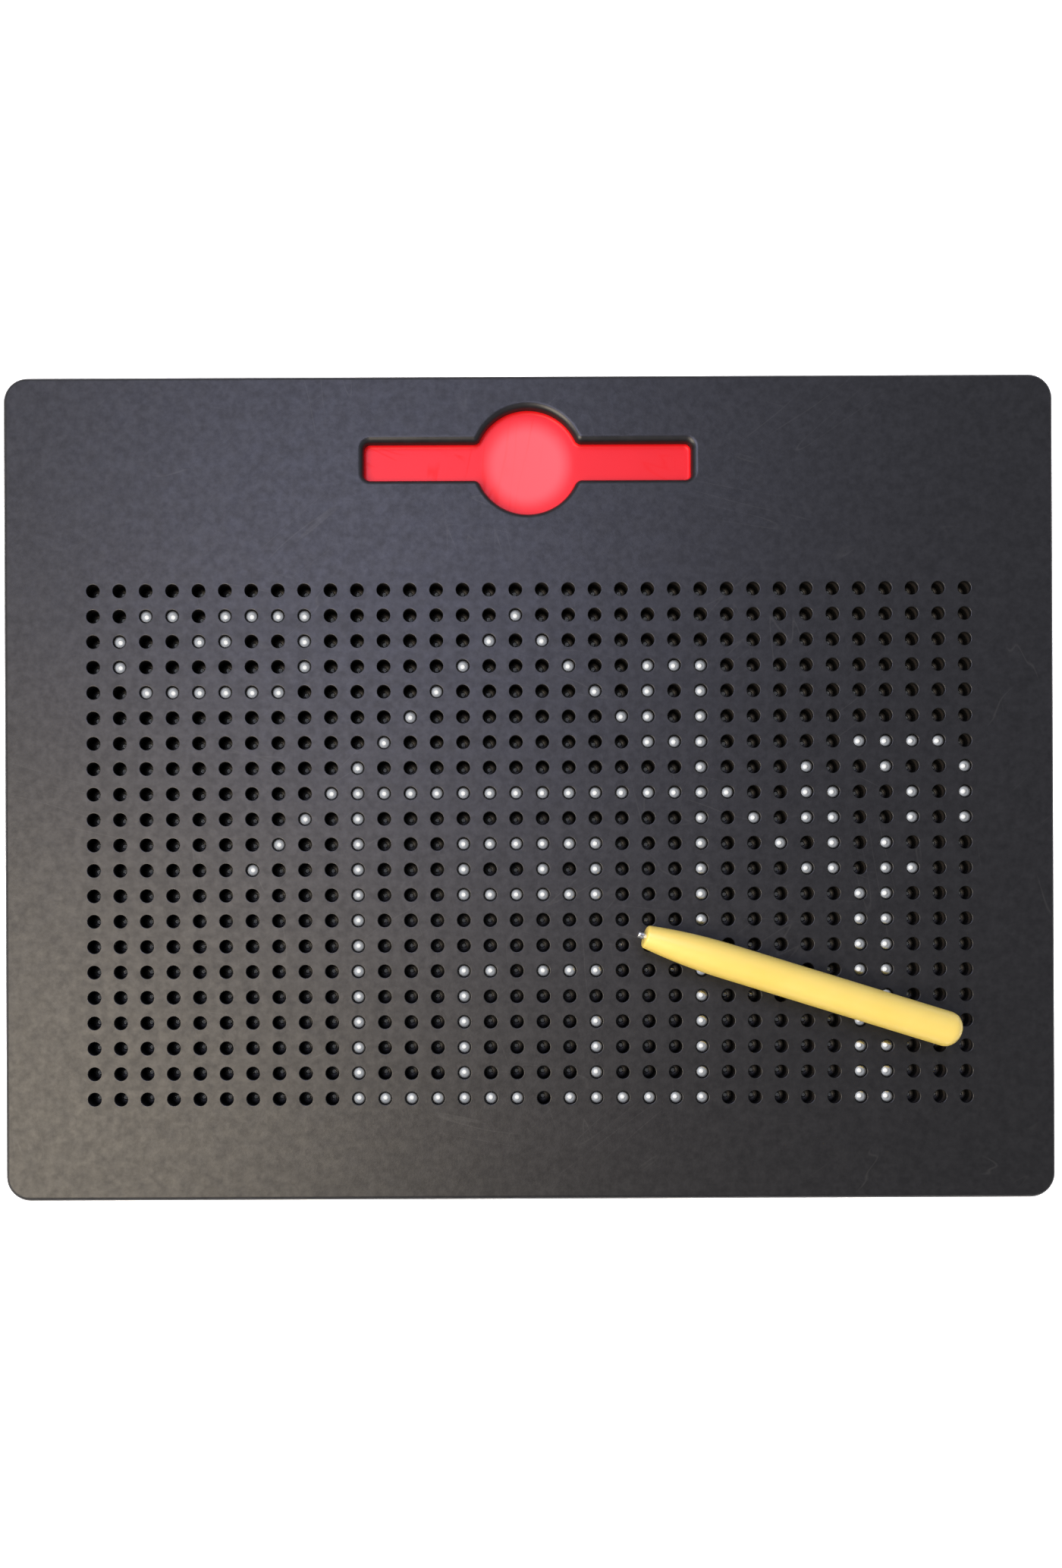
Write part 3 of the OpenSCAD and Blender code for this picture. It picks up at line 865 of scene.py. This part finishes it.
def makeFloor():
    def paint(tree, place):
        fleck = addNode(tree, "ShaderNodeTexNoise", {"Vector": place, "Scale": 1 / (40 * mm), "Detail": 2.0})
        dull = addNode(tree, "ShaderNodeMapRange", {"Value": fleck.outputs["Fac"], "To Min": 0.85,
                                                    "To Max": 0.95})
        return addNode(tree, "ShaderNodeBsdfPrincipled", {
            "Base Color": fromHex("#fbfbfb"), "Roughness": dull.outputs[0], "Specular IOR Level": 0.2})

    half, z = stageSizes["floorHalf"], -stageSizes["floorGap"]
    corners = [(-half, -half, z), (half, -half, z), (half, half, z), (-half, half, z)]
    floor = makeObject("floor", corners, [(0, 1, 2, 3)], newMaterial("paleMattPaint", paint))
    return floor


# The lamps that light the board leave the beads out, which would only glare, and one broad
# lamp lights just the beads that are up. Beads down in their wells see only the room. The
# backdrop has a lamp of its own, so that it stays white.
def limitReach(lamp, reach, floor):
    groups = {"notBeads": (beadRows["drawn"] + beadRows["resting"], "EXCLUDE"),
              "drawnBeads": (beadRows["drawn"], "INCLUDE"), "floor": ([floor], "INCLUDE")}
    pieces, state = groups[reach]
    group = bpy.data.collections.new(lamp.name + "Reach")
    for piece in pieces:
        group.objects.link(piece)
    for entry in group.collection_objects:
        entry.light_linking.link_state = state
    lamp.light_linking.receiver_collection = group


def makeLights(floor):
    s = stageSizes
    for one in s["lamps"]:
        data = bpy.data.lights.new(one["name"], "AREA")
        data.shape = "DISK"
        data.size = one["size"]
        data.energy = one["power"]
        data.color = fromHex(one["colour"])[:3]
        lamp = bpy.data.objects.new(one["name"], data)
        lamp.location = Vector(one["from"]).normalized() * one["distance"]
        lamp.rotation_euler = (-lamp.location).to_track_quat("-Z", "Y").to_euler()
        bpy.context.scene.collection.objects.link(lamp)
        limitReach(lamp, one["reach"], floor)

    world = bpy.data.worlds.new("room")
    world.use_nodes = True
    tree = world.node_tree
    tree.nodes.clear()
    toward = addNode(tree, "ShaderNodeTexCoord").outputs["Generated"]
    height = addNode(tree, "ShaderNodeSeparateXYZ", {0: toward}).outputs["Z"]
    ceiling = addNode(tree, "ShaderNodeMapRange", {"Value": height, "From Min": s["wallTop"],
                                                   "From Max": s["ceilingFrom"], "To Min": s["wallShare"]},
                      interpolation_type="SMOOTHSTEP")
    facing = addNode(tree, "ShaderNodeVectorMath", {0: toward, 1: Vector(s["brightSide"]).normalized()},
                     operation="DOT_PRODUCT")
    side = addNode(tree, "ShaderNodeMapRange", {"Value": facing.outputs["Value"], "From Min": 0.1,
                                                "From Max": 0.95, "To Min": s["dimShare"]},
                   interpolation_type="SMOOTHSTEP")
    # Straight overhead it is darker, where whoever looks down on the board stands in the light.
    overhead = addNode(tree, "ShaderNodeMapRange", {
        "Value": height, "From Min": s["overheadFrom"], "From Max": s["overheadTo"],
        "To Min": 1.0, "To Max": s["overheadShare"]}, interpolation_type="SMOOTHSTEP")
    above = addNode(tree, "ShaderNodeMath", {0: ceiling.outputs[0], 1: overhead.outputs[0]},
                    operation="MULTIPLY")
    both = addNode(tree, "ShaderNodeMath", {0: above.outputs[0], 1: side.outputs[0]}, operation="MULTIPLY")
    strength = addNode(tree, "ShaderNodeMath", {0: both.outputs[0], 1: s["roomStrength"]},
                       operation="MULTIPLY")
    room = addNode(tree, "ShaderNodeBackground", {"Color": fromHex(s["roomColour"]),
                                                  "Strength": strength.outputs[0]})
    # Looked at straight, the room is a plain white backdrop.
    backdrop = addNode(tree, "ShaderNodeBackground", {"Color": (1, 1, 1, 1), "Strength": 1.0})
    seen = addNode(tree, "ShaderNodeLightPath").outputs["Is Camera Ray"]
    mixed = addNode(tree, "ShaderNodeMixShader", {0: seen, 1: room.outputs[0], 2: backdrop.outputs[0]})
    addNode(tree, "ShaderNodeOutputWorld", {"Surface": mixed.outputs[0]})
    bpy.context.scene.world = world


makeLights(makeFloor())
bpy.context.scene.view_settings.view_transform = "Standard"
print("floor and light made")
